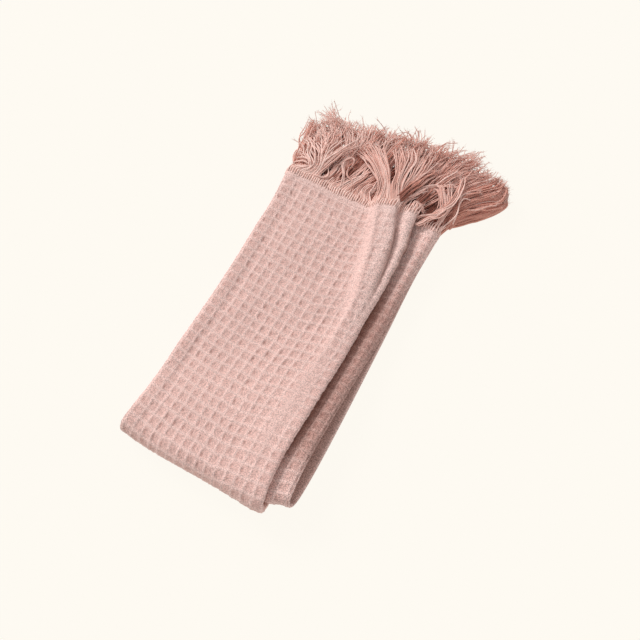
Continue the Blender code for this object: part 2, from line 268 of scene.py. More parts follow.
weave = {
    "width": 300.0, "length": 416.0,  # one layer, flat, without the fringes
    "selvedge": 2.2, "endBand": 8.0,
    "columns": 48, "rows": 61,
    "fineSteps": 8, "foldSteps": 4, "coarseSteps": 2,  # mesh lines to a cell: on show, at a fold, hidden
    "depth": 0.5, "ridgeWidth": 0.78, "crossRidgeWidth": 0.85, "crossRidge": 0.85,
    "pit": 0.18, "pitFromRidge": 1.15, "pitWide": 0.6, "pitLong": 1.3,  # the hole under each long float
    "bow": 0.7, "bowSize": 34.0, "jitter": 0.3, "jitterSize": 7.0,  # how the rows of cells wander
    "grain": 0.15,
    # Zones of the sheet. The layer on top ends past the right fold, and the half on top past the doubled end.
    "topTo": 108.0, "topRowsTo": 234.0,
    "turnsAcross": ((84.0, 108.0), (176.0, 206.0)), "turnAlongFrom": 190.0,
    "stripFrom": 255.0, "stripFineFrom": 264.0,  # the strip that stands out below the right fold
    "uneven": 0.22, "unevenSize": 31.0,  # how much the depth of the waffle varies from patch to patch
    "cellDepths": (0.6, 1.25), "pitDepths": (0.0, 1.1), "pitAside": 0.5,  # how the cells differ
    "plainBand": 0.75,  # the height of the plain bands and selvedges, as a share of the ridges'
    # How much painted shade lies in the crease, between the roots at the cloth's end and on the layer below
    # the strip, and how much painted light and coarser grain the cloth has where it rounds over
    "creaseShade": 0.5, "rootShade": 0.42, "lowerShade": 0.7,
    "paintedLightOnRounds": 0.4, "roundedGrain": 0.7, "leftEdgeGrain": 0.5,
}
# Where the waffle is pulled flat, beside the ridge and the right fold: along, its middle across, how much
flatBand = ((0.0, 76.0, 0.0), (20.0, 76.0, 0.25), (36.0, 76.0, 0.6), (52.0, 79.0, 0.65), (70.0, 81.0, 0.6),
            (100.0, 80.5, 0.45), (125.0, 79.0, 0.55), (157.0, 74.0, 0.85), (180.0, 69.5, 1.0),
            (203.0, 64.0, 1.0))
cellAcross = (weave["width"] - 2 * weave["selvedge"]) / weave["columns"]
cellAlong = (weave["length"] - 2 * weave["endBand"]) / weave["rows"]


def surfaceAt(across, along):
    x = np.clip(across / weave["width"], 0, 1) * (sectionSamples - 1)
    y = np.clip(along / weave["length"], 0, 1) * (alongSamples - 1)
    x0, y0 = np.minimum(x.astype(int), sectionSamples - 2), np.minimum(y.astype(int), alongSamples - 2)
    return blended(lambda i, j: surface[y0 + j, x0 + i], (x - x0)[..., None], (y - y0)[..., None])


def meshLines(head, start, cell, count, size, stepsAt):
    # The mesh's lines along one side of the sheet, and those of them that its back has too
    lines, backLines = list(head), head[::2]
    for k in range(count):
        at = start + k * cell
        steps, isTurn = stepsAt(at)
        new = [at + cell * step / steps for step in range(steps)]
        lines += new
        backLines += new[::2] if isTurn else new[:1]
    tail = [size - away for away in (start, *head[:0:-1], 0.0)]
    return np.array(lines + tail), sorted(backLines + tail[::2])


def columnSteps(at):
    isTurn = any(start < at < end for start, end in weave["turnsAcross"])
    if at < weave["topTo"] or at > weave["stripFineFrom"]:
        return weave["fineSteps"], isTurn
    return weave["foldSteps"] if isTurn else weave["coarseSteps"], isTurn


def rowSteps(at):
    isFine = at < weave["topRowsTo"]
    return weave["fineSteps"] if isFine else weave["coarseSteps"], isFine and at > weave["turnAlongFrom"]


def ridgeNear(at, start, cell, count, width):
    phase = (at - start) / cell
    away = np.abs(phase - np.round(phase)) * cell
    ridge = np.exp(-(away / width) ** 2)
    return np.where((phase < -0.2) | (phase > count + 0.2), 1.0, ridge)


def waffleAt(across, along):
    # The waffle's ridges, the pits under their long floats, and how deep each cell is
    warp = ridgeNear(across, weave["selvedge"], cellAcross, weave["columns"], weave["ridgeWidth"])
    weft = ridgeNear(along, weave["endBand"], cellAlong, weave["rows"], weave["crossRidgeWidth"])
    phaseAcross = (across - weave["selvedge"]) / cellAcross
    phaseAlong = (along - weave["endBand"]) / cellAlong
    isWaffle = (phaseAcross > -0.2) & (phaseAcross < weave["columns"] + 0.2)
    isWaffle &= (phaseAlong > -0.2) & (phaseAlong < weave["rows"] + 0.2)
    column = np.clip(np.floor(phaseAcross).astype(int) + 2, 0, weave["columns"] + 3)
    row = np.clip(np.floor(phaseAlong).astype(int) + 2, 0, weave["rows"] + 3)
    draw = np.random.default_rng(5)
    shape = (weave["rows"] + 4, weave["columns"] + 4)
    cellDeep = draw.uniform(*weave["cellDepths"], shape)[row, column]
    pitDeep = draw.uniform(*weave["pitDepths"], shape)[row, column]
    aside = draw.normal(0, weave["pitAside"], shape)[row, column]
    raised = 0.8 - 0.2 * np.cos(2 * math.pi * phaseAlong)  # long floats stand highest between the crossings
    ridge = np.where(isWaffle, 1 - (1 - warp * raised) * (1 - weave["crossRidge"] * weft), weave["plainBand"])
    fromRidge = (phaseAcross - np.floor(phaseAcross)) * cellAcross - weave["pitFromRidge"]
    fromMiddle = (phaseAlong - np.floor(phaseAlong) - 0.5) * cellAlong + aside
    pit = np.exp(-(fromRidge / weave["pitWide"]) ** 2 - (fromMiddle / weave["pitLong"]) ** 2)
    return ridge, pit * pitDeep * isWaffle, cellDeep


def weaveAt(across, along, place):
    ridge, pit, cellDeep = waffleAt(across, along)
    # The waffle is pulled flat in the band, and partly on the roll and on the ridge's right slope
    u, v = place[..., 0], place[..., 1]
    crest, valley = fromTable(stations, 3, v), fromTable(stations, 5, v)
    isTop = across < weave["topTo"]
    halfBand = 4.6 - 1.2 * eased((v - 120) / 40)
    band = fromTable(flatBand, 2, v) * np.exp(-((u - fromTable(flatBand, 1, v)) / halfBand) ** 4)
    roll = eased((u - valley + 3) / 3) * eased((v - 80) / 40)
    slope = eased((u - crest) / 3) * eased((v - 90) / 40)
    pressed = np.where(isTop, np.maximum(np.maximum(band, 0.5 * roll), 0.2 * slope), 0.0)
    pressed += weave["uneven"] * softNoise(across, along, weave["unevenSize"], 9)
    strength = np.clip(1 - pressed, 0.08, 1.2)
    recess = weave["depth"] * cellDeep * (1 - ridge) * strength + weave["pit"] * pit * strength

    # Painted shade: what lies deep between the folds is painted darker
    crease = np.exp(-((u - valley + 0.4) / 1.4) ** 2) * eased((v - 118) / 40) * isTop
    paintedFoldShade = eased((across - 95) / 4) * (1 - eased((across - 112) / 10))
    # Painted shade on the strip, which lies in the folds' shade halfway along, and on the layer below the
    # strip all along
    halfway = eased((v - 8) / 30) * (1 - eased((v - 120) / 60))
    nearFold = 1 - eased((across - 281 + 4 * eased((v - 140) / 30)) / (3 + 11 * halfway))
    paintedFoldShade += eased((across - 268) / 6) * (0.5 * halfway + (1 - 0.5 * halfway) * nearFold)
    isUnderStrip = (along > 0.5 * weave["length"] + 4) & (across > 280)
    paintedFoldShade = np.where(isUnderStrip, weave["lowerShade"] - 0.5 * eased((across - 297) / 2), paintedFoldShade)
    # Painted shade in the gaps between the fringe's roots at the cloth's end
    paintedRootShade = weave["rootShade"] * (1 - eased((along - 1.2) / 2.6)) * (across < 290)

    rounded = np.maximum(roll, slope) * isTop
    onRidge = slope * (1 - roll) * eased((v - 178) / 15)
    coarse = weave["roundedGrain"] * rounded * (1 - onRidge)
    coarse += weave["leftEdgeGrain"] * (1 - eased(across / 14))
    # Painted light: where the cloth rounds over the roll and the ridge's slope it is painted lighter
    light = 0.5 + (ridge - 0.5) * np.clip(strength, 0, 1) + weave["paintedLightOnRounds"] * rounded
    return recess, {
        "ridge": np.clip(light, 0, 1),
        "pit": pit * strength,
        "shade": np.clip(weave["creaseShade"] * crease + paintedFoldShade + paintedRootShade, 0, 1),
        "coarse": np.where(across > weave["stripFrom"], 1.0, coarse),
    }


def sheetFaces(rowCount, columnCount, rowsKept, columnsKept):
    front = lambda j, i: j * columnCount + i
    behind = lambda j, i: rowCount * columnCount + j * len(columnsKept) + i
    faces = [(front(j, i), front(j + 1, i), front(j + 1, i + 1), front(j, i + 1))
             for j in range(rowCount - 1) for i in range(columnCount - 1)]
    faces += [(behind(j, i), behind(j, i + 1), behind(j + 1, i + 1), behind(j + 1, i))
              for j in range(len(rowsKept) - 1) for i in range(len(columnsKept) - 1)]
    # The sheet's four edges, where each face of the back meets several of the front
    for j, (a, b) in enumerate(zip(rowsKept, rowsKept[1:])):
        for i, edge in ((0, 0), (len(columnsKept) - 1, columnCount - 1)):
            faces.append([front(k, edge) for k in range(a, b + 1)] + [behind(j + 1, i), behind(j, i)])
    for i, (a, b) in enumerate(zip(columnsKept, columnsKept[1:])):
        for j, edge in ((0, 0), (len(rowsKept) - 1, rowCount - 1)):
            faces.append([front(edge, k) for k in range(a, b + 1)] + [behind(j, i + 1), behind(j, i)])
    return faces


def clothPiece(material):
    lines, backLines = meshLines([0.0, 0.5, 1.1, 1.65], weave["selvedge"], cellAcross, weave["columns"],
                                 weave["width"], columnSteps)
    rows, backRows = meshLines([0.0, 0.4, 1.2, 2.2, 3.4, 4.6, 5.8, 7.0], weave["endBand"], cellAlong,
                               weave["rows"], weave["length"], rowSteps)
    across, along = np.meshgrid(lines, rows)
    wander = [weave["bow"] * softNoise(across, along, weave["bowSize"], seed)
              + weave["jitter"] * softNoise(across, along, weave["jitterSize"], seed + 1) for seed in (1, 3)]
    fromEdge = np.minimum(across, weave["width"] - across)
    fromEnd = np.minimum(along, weave["length"] - along)
    x = across + wander[0] * eased(fromEdge / 6.0)
    y = along + wander[1] * eased(fromEnd / 10.0)
    middle = surfaceAt(x, y)
    step = 0.6
    slopeAcross = surfaceAt(x + step, y) - surfaceAt(x - step, y)
    slopeAlong = surfaceAt(x, y + step) - surfaceAt(x, y - step)
    normal = np.cross(slopeAlong, slopeAcross)
    normal /= np.linalg.norm(normal, axis=2, keepdims=True)
    recess, looks = weaveAt(across, along, middle)
    fromRim = np.clip(np.minimum(fromEdge / 1.6, fromEnd / 1.0), 0, 1)
    thin = 0.5 * folds["thickness"] * (0.4 + 0.6 * np.sqrt(fromRim))  # the sheet's edges are rounded
    lumps = weave["grain"] * np.random.default_rng(8).normal(0, 1, recess.shape).clip(-1.8, 1.8)
    face = middle + normal * (thin - recess + lumps)[..., None]
    back = middle - normal * (thin - 0.4 * recess)[..., None]

    # The back has fewer lines than the face, and each of them is one of the face's
    columnsKept = [int(np.argmin(np.abs(lines - at))) for at in backLines]
    rowsKept = [int(np.argmin(np.abs(rows - at))) for at in backRows]
    kept = np.ix_(rowsKept, columnsKept)
    bothSides = lambda a, b: np.concatenate([a.reshape(-1, *a.shape[2:]), b[kept].reshape(-1, *b.shape[2:])])
    points = (bothSides(face, back) + towelShift) * mm
    points[:, 2] = np.maximum(points[:, 2], 0.0001)
    flat = np.stack([across, along], 2)
    flat = bothSides(flat, flat)
    faces = sheetFaces(len(rows), len(lines), rowsKept, columnsKept)
    mesh = bpy.data.meshes.new("waffle_cloth")
    mesh.from_pydata(points.tolist(), [], faces)
    work = bmesh.new()
    work.from_mesh(mesh)
    bmesh.ops.recalc_face_normals(work, faces=work.faces)
    work.to_mesh(mesh)
    work.free()
    loops = np.empty(len(mesh.loops), np.int32)
    mesh.loops.foreach_get("vertex_index", loops)
    mesh.uv_layers.new(name="clothUV").data.foreach_set("uv", (flat[loops] * mm).astype(np.float32).ravel())
    for name, values in looks.items():
        addValues(mesh, name, bothSides(values, values).astype(np.float32))
    mesh.shade_smooth()
    mesh.materials.append(material)
    print("cloth", len(mesh.polygons), "faces, triangles", sum(len(p.vertices) - 2 for p in mesh.polygons))
    return addObject("waffle_cloth", mesh)


def newMaterial(name, finish):
    material = bpy.data.materials.new(name)
    material.use_nodes = True
    shader = material.node_tree.nodes["Principled BSDF"]
    for socket, key in (("Roughness", "roughness"), ("Sheen Weight", "sheen"),
                        ("Sheen Roughness", "sheenRoughness"), ("Specular IOR Level", "specular")):
        shader.inputs[socket].default_value = finish[key]
    return material, material.node_tree, shader


# Cotton waffle cloth, woven and washed: matt, soft, with a short fuzz that catches light at a slant.
clothFinish = {
    # Painted shade: the recess colour is darker than the ridge's, and the pit colour darker still, for the
    # shade in the waffle's hollows
    "ridge": "#f5d2c9", "recess": "#e9bfb5", "pit": "#cd9c91",
    "paintedShadeColour": "#98715f",  # painted shade: what the colour is multiplied by deep between the folds
    "roughness": 0.92, "sheen": 0.15, "sheenRoughness": 0.45, "specular": 0.2,
    "threadMm": 0.78,  # spacing of the ground weave's threads, which are drawn this coarse to show
    "ribMm": 1.25,  # spacing of the warp ribs at the ends
}


def waffleCotton():
    material, tree, shader = newMaterial("waffle_cotton_cloth", clothFinish)
    ridge, pit, coarse, shade = (addNode(tree, "ShaderNodeAttribute", attribute_name=name).outputs["Fac"]
                                 for name in ("ridge", "pit", "coarse", "shade"))
    place = addNode(tree, "ShaderNodeUVMap", uv_map="clothUV")
    perMetre = 1 / (clothFinish["threadMm"] * mm)
    grid = addNode(tree, "ShaderNodeMapping", {"Vector": place, "Scale": (perMetre, perMetre, 1)})
    wobble = addNode(tree, "ShaderNodeTexNoise", {"Vector": grid, "Scale": 0.6, "Detail": 2.0})
    placed = addNode(tree, "ShaderNodeVectorMath", {0: wobble.outputs["Color"], 1: (0.9, 0.9, 0.9), 2: grid},
                     operation="MULTIPLY_ADD")
    lumps = addNode(tree, "ShaderNodeTexVoronoi", {"Vector": placed, "Scale": 1.0, "Randomness": 0.55})
    slubs = addNode(tree, "ShaderNodeTexNoise", {"Vector": grid, "Scale": 0.9, "Detail": 3.0,
                                                 "Roughness": 0.6})
    patches = addNode(tree, "ShaderNodeTexNoise", {"Vector": place, "Scale": 28.0, "Detail": 1.0})
    threadTone, slubTone, patchTone = (
        addNode(tree, "ShaderNodeMapRange", {"Value": value, "From Min": start, "From Max": 0.7,
                                             "To Min": first, "To Max": last})
        for value, start, first, last in ((lumps.outputs["Distance"], 0.1, 1.32, 0.69),
                                          (slubs.outputs["Fac"], 0.3, 0.9, 1.08),
                                          (patches.outputs["Fac"], 0.3, 0.97, 1.03)))
    sides = addNode(tree, "ShaderNodeSeparateXYZ", {"Vector": place})
    turns = 2 * math.pi / (clothFinish["ribMm"] * mm)
    wave = addNode(tree, "ShaderNodeMath", {0: sides.outputs["X"], 1: turns}, operation="MULTIPLY")
    rib = addNode(tree, "ShaderNodeMath", {0: wave}, operation="SINE")
    nearEnd = addNode(tree, "ShaderNodeMapRange", {"Value": sides.outputs["Y"], "From Min": 7 * mm,
                                                   "From Max": 1 * mm, "To Min": 0.0, "To Max": 0.16})
    ribTone = addNode(tree, "ShaderNodeMath", {0: rib, 1: nearEnd, 2: 1.0}, operation="MULTIPLY_ADD")
    # The ground weave shows more strongly where the cloth is rounded over the folds and on the strip below
    amount = addNode(tree, "ShaderNodeMapRange", {"Value": coarse, "To Min": 1.0, "To Max": 1.35})
    offset = addNode(tree, "ShaderNodeMath", {0: threadTone, 1: 1.0}, operation="SUBTRACT")
    tone = addNode(tree, "ShaderNodeMath", {0: offset, 1: amount, 2: 1.0}, operation="MULTIPLY_ADD")
    for factor in (slubTone, patchTone, ribTone):
        tone = addNode(tree, "ShaderNodeMath", {0: tone, 1: factor}, operation="MULTIPLY")
    # The ridge colour over the recess colour, and the painted shade that the shade attribute lays between the
    # folds
    plain, shaded = (addNode(tree, "ShaderNodeMix", {0: share, 6: without, 7: linear(clothFinish[full])},
                             data_type="RGBA").outputs[2]
                     for share, without, full in ((ridge, linear(clothFinish["recess"]), "ridge"),
                                                  (shade, (1.0, 1.0, 1.0, 1.0), "paintedShadeColour")))
    # The pits under the long floats are painted darker: painted shade
    base = addNode(tree, "ShaderNodeMix", {0: pit, 6: plain, 7: linear(clothFinish["pit"])},
                   data_type="RGBA").outputs[2]
    base = addNode(tree, "ShaderNodeVectorMath", {0: base, 1: shaded}, operation="MULTIPLY")
    colour = addNode(tree, "ShaderNodeVectorMath", {0: base, "Scale": tone}, operation="SCALE")
    tree.links.new(colour.outputs[0], shader.inputs["Base Color"])
    bump = addNode(tree, "ShaderNodeBump", {"Height": lumps, "Strength": 0.8, "Distance": 0.4 * mm},
                   invert=True)
    tree.links.new(bump.outputs[0], shader.inputs["Normal"])
    return material


# Cotton yarn, loosely twisted: matt, its fuzz uneven in tone, each strand lighter or darker than the next,
# partly at random and partly as painted light and shade.
yarnFinish = {
    "yarn": "#f8d6cb", "shade": "#d69684", "deep": "#a06658",  # painted light and shade: a lit yarn, one in shade, and one in the shade under others
    "roughness": 0.9, "sheen": 0.15, "sheenRoughness": 0.45, "specular": 0.2,
}


def twistedCotton():
    material, tree, shader = newMaterial("twisted_cotton_yarn", yarnFinish)
    # Each yarn's tone carries painted light and shade: from the shaded colour to the lit one, and towards the
    # deep colour for painted shade under others
    toneAndShade = addNode(tree, "ShaderNodeAttribute", attribute_name="yarnToneAndShade").outputs["Fac"]
    under = addNode(tree, "ShaderNodeMath", {0: toneAndShade, 1: -1.0}, operation="MULTIPLY", use_clamp=True)
    base = linear(yarnFinish["shade"])
    for share, full in ((toneAndShade, "yarn"), (under, "deep")):
        base = addNode(tree, "ShaderNodeMix", {0: share, 6: base, 7: linear(yarnFinish[full])},
                       data_type="RGBA").outputs[2]
    place = addNode(tree, "ShaderNodeTexCoord").outputs["Object"]
    fuzz = addNode(tree, "ShaderNodeTexNoise", {"Vector": place, "Scale": 900.0, "Detail": 2.0})
    tone = addNode(tree, "ShaderNodeMapRange", {"Value": fuzz.outputs["Fac"], "From Min": 0.3,
                                                "From Max": 0.7, "To Min": 0.86, "To Max": 1.1})
    colour = addNode(tree, "ShaderNodeVectorMath", {0: base, "Scale": tone}, operation="SCALE")
    tree.links.new(colour.outputs[0], shader.inputs["Base Color"])
    return material


fringe = {
    "length": 60.0, "seed": 21,
    "insideCloth": 2.0,  # how far inside the cloth's end a yarn starts
    "tuftWidth": 8.0, "yarnSpacing": 0.8,  # of the tufts that fill the layers below, along the cloth's end
    "rootSpacing": 1.55, "rootInside": 3.6, "rootOutside": 5.0,  # combed roots at the cloth's very end
    "curledShare": 0.42,  # of a yarn's length, at its tip
    "curlDegrees": 14.0,  # how far a yarn's tip turns, for each unit of its lock's curl
    "clump": 5,  # yarns that curl the same way
    "tipTaper": 0.65, "tipFibres": 6, "tipLength": 2.3,
    "lift": (0.1, 0.75),  # how high above the sheet's middle the yarns of a lock start
    "topLayerTo": 98.0,  # across the sheet: where the layer on top turns down at the right fold
    "topShare": 0.72, "topSink": 2.5,  # the top layer's own tufts are shorter and sink under the locks
    "sink": {"upper": 0.12, "lower": 0.3},  # how far a tuft sinks to its tip, as a share of its root's height
    "backGather": 0.6,  # how closely the clumps of the furthest tufts gather at their tips
}
# The yarns on top, those of the lowest and furthest tufts, and the frayed fibres at the tips of both
topYarn = {"width": 0.9, "sides": 5, "steps": 18, "kink": 1.5, "kinksPerMetre": 110.0}
backYarn = {"width": 0.6, "sides": 4, "steps": 15, "kink": 1.8, "kinksPerMetre": 130.0}
tipFibre = {"width": 0.2, "sides": 3, "steps": 4, "kink": 1.6, "kinksPerMetre": 260.0}
lowestYarn = 0.5 * topYarn["width"] + 0.05  # height of a yarn's middle where it lies on the table
# How the tufts of the lower layers spread from places across: heading in degrees, share of the length, and
# how late they turn to their heading
fan = ((0.0, -7.0, 0.8, 1.0), (14.0, -3.0, 0.86, 1.0), (25.0, 1.0, 0.98, 1.0), (50.0, 10.0, 1.06, 1.1),
       (72.0, 18.0, 1.08, 1.1), (90.0, 27.0, 1.0, 1.2), (104.0, 38.0, 0.86, 1.4), (111.0, 40.0, 0.76, 1.6))
# Locks of the top layers. roots is the stretch of the cloth's end that a lock leaves, or None for one whose
# roots lie hidden at its first point. Points are its middle: across, along, height.
lockColumns = ("roots", "yarns", "wide", "deep", "stray", "curl", "points")
locks = {
    "cornerHook": ((0.5, 7), 9, 7, 2, 0.5, 1.5, ((14, 204, 14.5), (13, 206, 15.5), (7, 209, 15),
        (0, 209, 13))),
    "cornerUp": ((5, 13), 10, 8, 2.5, 0.6, 2, ((15, 204, 15), (12, 208, 16), (7, 213, 15.5), (5, 219, 15),
        (0, 223, 13))),
    "tuftLeft": ((10, 18), 13, 11, 3, 0.6, 2, ((18, 204, 15.5), (17, 210, 17), (12, 219, 16), (6, 226, 14),
        (2, 229, 13))),
    "tuftMid": ((14, 22), 12, 9, 3, 0.6, 2, ((19, 207, 15.5), (19, 213, 17), (18, 221, 16.5), (18, 230, 15),
        (18, 237, 13.5))),
    "longSweep": ((9, 21), 12, 5, 2, 0.3, 0.5, ((20, 205, 15.5), (24, 213, 17.5), (28, 223, 17.5),
        (34, 234, 16))),
    "leanA": ((22, 34), 12, 8, 2, 0.6, 2, ((31, 205, 14.5), (32, 212, 15), (33, 220, 14), (36, 229, 12))),
    "leanB": ((30, 42), 13, 9, 2, 0.4, 1.5, ((43, 206, 14.5), (46, 213, 14), (48, 221, 13), (52, 228, 12))),
    "leanC": ((39, 51), 13, 9, 2, 0.4, 1.5, ((50, 209, 14), (54, 216, 14), (55, 221, 13), (58, 228, 12))),
    "leanD": ((48, 60), 14, 8, 2, 0.4, 1.5, ((53, 203, 14), (57, 209, 14), (59, 214, 13), (64, 222, 12))),
    "loopA": ((26, 28), 2, 1.5, 1, 0.2, 0.5, ((29, 209, 15), (32, 217, 16), (36, 221, 16.5), (39, 219, 16),
        (39, 215, 15))),
    "loopB": ((37, 40), 3, 3, 1, 0.3, 1, ((37, 206, 15.5), (33, 214, 16), (33, 222, 15))),
    "loopC": ((44, 46), 2, 1, 1, 0.2, 1, ((44, 205, 15), (40, 206, 16), (38, 209, 16), (37, 214, 15))),
    "leftDown": ((12, 14), 2, 1, 1, 0.2, 0.5, ((20, 199, 14.6), (25, 199, 14.8), (27, 202, 15),
        (25, 209, 15.5))),
    "combA": ((60, 64), 11, 6, 3.4, 0.4, 1.0, ((63, 204, 17), (60, 211, 18.5), (52, 219, 18),
        (45, 225, 16.5), (37, 230, 14))),
    "combB": ((63, 67), 11, 6, 3.4, 0.4, 1.0, ((65, 207, 18.5), (61, 213, 19.5), (54, 222, 18.5),
        (47, 229, 17), (40, 236, 15))),
    "combC": ((66, 71), 12, 6, 3.4, 0.4, 1.0, ((66, 209, 19.5), (62, 217, 19.5), (56, 225, 18.5),
        (50, 232, 17), (44, 239, 15))),
    "combD": ((70, 74), 9, 4, 3.4, 0.4, 1.0, ((66, 212, 19.5), (61, 221, 19), (55, 228, 18),
        (50, 234, 16.5), (47, 238, 15))),
    "combE": ((73, 76), 11, 6, 3.4, 0.4, 1.0, ((70, 210, 19.8), (69, 219, 19.5), (67, 227, 19),
        (64, 235, 17.5), (62, 242, 16))),
    "combF": ((75, 78), 11, 6, 3.4, 0.4, 1.0, ((73, 210, 19), (71, 219, 19.5), (70, 229, 18.5),
        (68, 238, 17), (65, 244, 15.5))),
    "combG": ((77, 80), 9, 5, 3.4, 0.4, 1.0, ((74, 214, 18.5), (73, 224, 18.5), (74, 233, 17.5),
        (72, 240, 16.5), (69, 245, 15.5))),
    "combH": ((79, 83), 12, 6, 3.4, 0.4, 1.0, ((77, 213, 18), (78, 221, 18.5), (78, 233, 17.5),
        (77, 242, 16), (78, 248, 14.5))),
    "combI": ((82, 86), 9, 5, 3.4, 0.4, 1.0, ((80, 215, 16.5), (81, 222, 17.5), (82, 232, 16.5),
        (82, 241, 15), (81, 248, 14))),
    "creaseTuft": (None, 7, 3.5, 1.5, 0.3, 0.7, ((80, 196, 12), (80, 200, 14.5), (81, 207, 16),
        (85, 212, 16.5), (90, 220, 16))),
    "creaseTip": (None, 4, 2, 1.5, 0.3, 0.7, ((81, 198, 12), (81, 205, 15), (82, 211, 16.5),
        (82, 219, 16.5))),
    "rollHook": ((90, 97), 6, 3, 1, 0.3, 0.7, ((89, 207, 16.5), (92, 206, 15.5), (94, 204, 13.5))),
    "arch": (None, 5, 2.5, 1.5, 0.3, 0.7, ((88, 205, 9), (89, 217, 12.5), (91, 222, 15), (96, 225, 17),
        (100, 221, 17.5), (103, 216, 16.5), (105, 211, 15))),
    "archLow": (None, 5, 3, 1.5, 0.4, 1, ((88, 203, 9), (91, 214, 12), (93, 220, 14), (98, 225, 15),
        (101, 229, 15), (106, 229, 15.5), (109, 227, 15))),
    "upLock": (None, 8, 4, 1.5, 0.4, 0.7, ((96, 199, 12), (100, 203, 14), (104, 208, 15.5),
        (108, 214, 16.5), (109, 222, 17), (109, 230, 16.5), (108, 240, 15))),
    "upLockFar": (None, 6, 3.5, 1.5, 0.4, 1, ((90, 212, 10), (93, 221, 13), (96, 229, 14.5), (99, 235, 15),
        (101, 239, 14.5), (103, 244, 13.5))),
    "sideTip": (None, 4, 1.5, 1, 0.3, 0.5, ((103, 205, 12), (106, 214, 14.5), (109, 221, 15.5),
        (112, 227, 15.5), (116, 232, 15), (121, 236, 13.5))),
    "longThin": (None, 2, 0.8, 0.6, 0.2, 0.3, ((108, 195, 11), (110, 201, 12), (112, 205, 13.5),
        (114, 210, 15), (113, 219, 16), (114, 224, 15.5), (118, 225, 14.5))),
    "rollLoop": (None, 6, 4, 1.5, 0.5, 1, ((92, 198, 13), (94, 200, 14), (99, 202, 15.5), (104, 206, 16),
        (106, 214, 16), (104, 222, 15.5), (103, 226, 14.5))),
    "rollLoopLow": (None, 5, 4, 1.5, 0.5, 1, ((94, 193, 13), (97, 196, 14), (100, 200, 15.5),
        (104, 203, 16), (107, 209, 16), (108, 214, 15.5))),
    "sweepA": (None, 26, 4, 3, 0.2, 0.1, ((108, 199, 4), (112, 208, 5), (119, 216, 6), (127, 223, 6.5),
        (133, 231, 6), (137, 240, 6), (136, 246, 7))),
    "sweepB": (None, 26, 5, 4, 0.2, 0.1, ((108, 202, 7), (113, 212, 8.5), (120, 220, 9.5), (128, 228, 9),
        (134, 236, 8), (136, 244, 8), (134, 249, 9))),
    "sweepC": (None, 26, 6.5, 4, 0.25, 0.3, ((106, 204, 9), (111, 216, 11), (117, 225, 11.5),
        (124, 233, 11), (130, 241, 9.5), (131, 250, 9))),
    "sweepD": (None, 26, 7.5, 4, 0.3, 0.8, ((104, 206, 9), (109, 221, 11.5), (115, 230, 12),
        (121, 238, 11.5), (127, 246, 9.5), (129, 254, 8))),
    "sweepAB": (None, 20, 4.5, 3.5, 0.2, 0.1, ((112, 206, 5), (116, 215, 6.5), (121, 224, 7.5),
        (127, 231, 8), (132, 238, 8), (136, 243, 8))),
    "sweepLow": (None, 16, 3, 3, 0.2, 0.1, ((112, 207, 3), (115, 213, 4), (121, 217, 5), (129, 223, 5.5),
        (135, 230, 5.5), (139, 237, 6), (138, 241, 7))),
    "sweepFill": (None, 24, 8, 3, 0.2, 0.1, ((108, 206, 4), (117, 213, 4.5), (124, 221, 5), (130, 229, 5),
        (134, 237, 5), (135, 243, 5.5))),
    "ring": (None, 5, 2.5, 1, 0.2, 0.4, ((84, 214, 14), (86, 219, 15), (90, 222, 16), (95, 225, 16.5),
        (99, 223, 16.5), (103, 218, 16), (104, 210, 15))),
    "ringLow": (None, 4, 2.5, 1, 0.3, 0.6, ((89, 216, 13), (92, 220, 14.5), (95, 223, 15.5),
        (99, 220, 15.5), (102, 213, 15), (104, 208, 14))),
    "beardA": (None, 5, 4, 1, 0.4, 1, ((97, 197, 11), (98, 202, 13), (103, 206, 14), (107, 212, 14.5),
        (107, 220, 15), (105, 228, 15.5))),
    "beardB": (None, 6, 4, 1, 0.4, 1, ((105, 195, 10), (106, 201, 12.5), (107, 208, 14), (107, 216, 15),
        (104, 223, 15.5), (103, 230, 15.5))),
    "beardC": (None, 6, 3.5, 1, 0.4, 1, ((111, 202, 9), (112, 209, 12), (112, 216, 13.5), (112, 224, 14),
        (114, 229, 14.5), (120, 235, 14))),
    "stray": (None, 2, 1, 0.6, 0.2, 0.5, ((114, 206, 10), (114, 210, 13), (113, 217, 14.5), (112, 223, 15),
        (113, 226, 14.5), (114, 229, 14))),
}
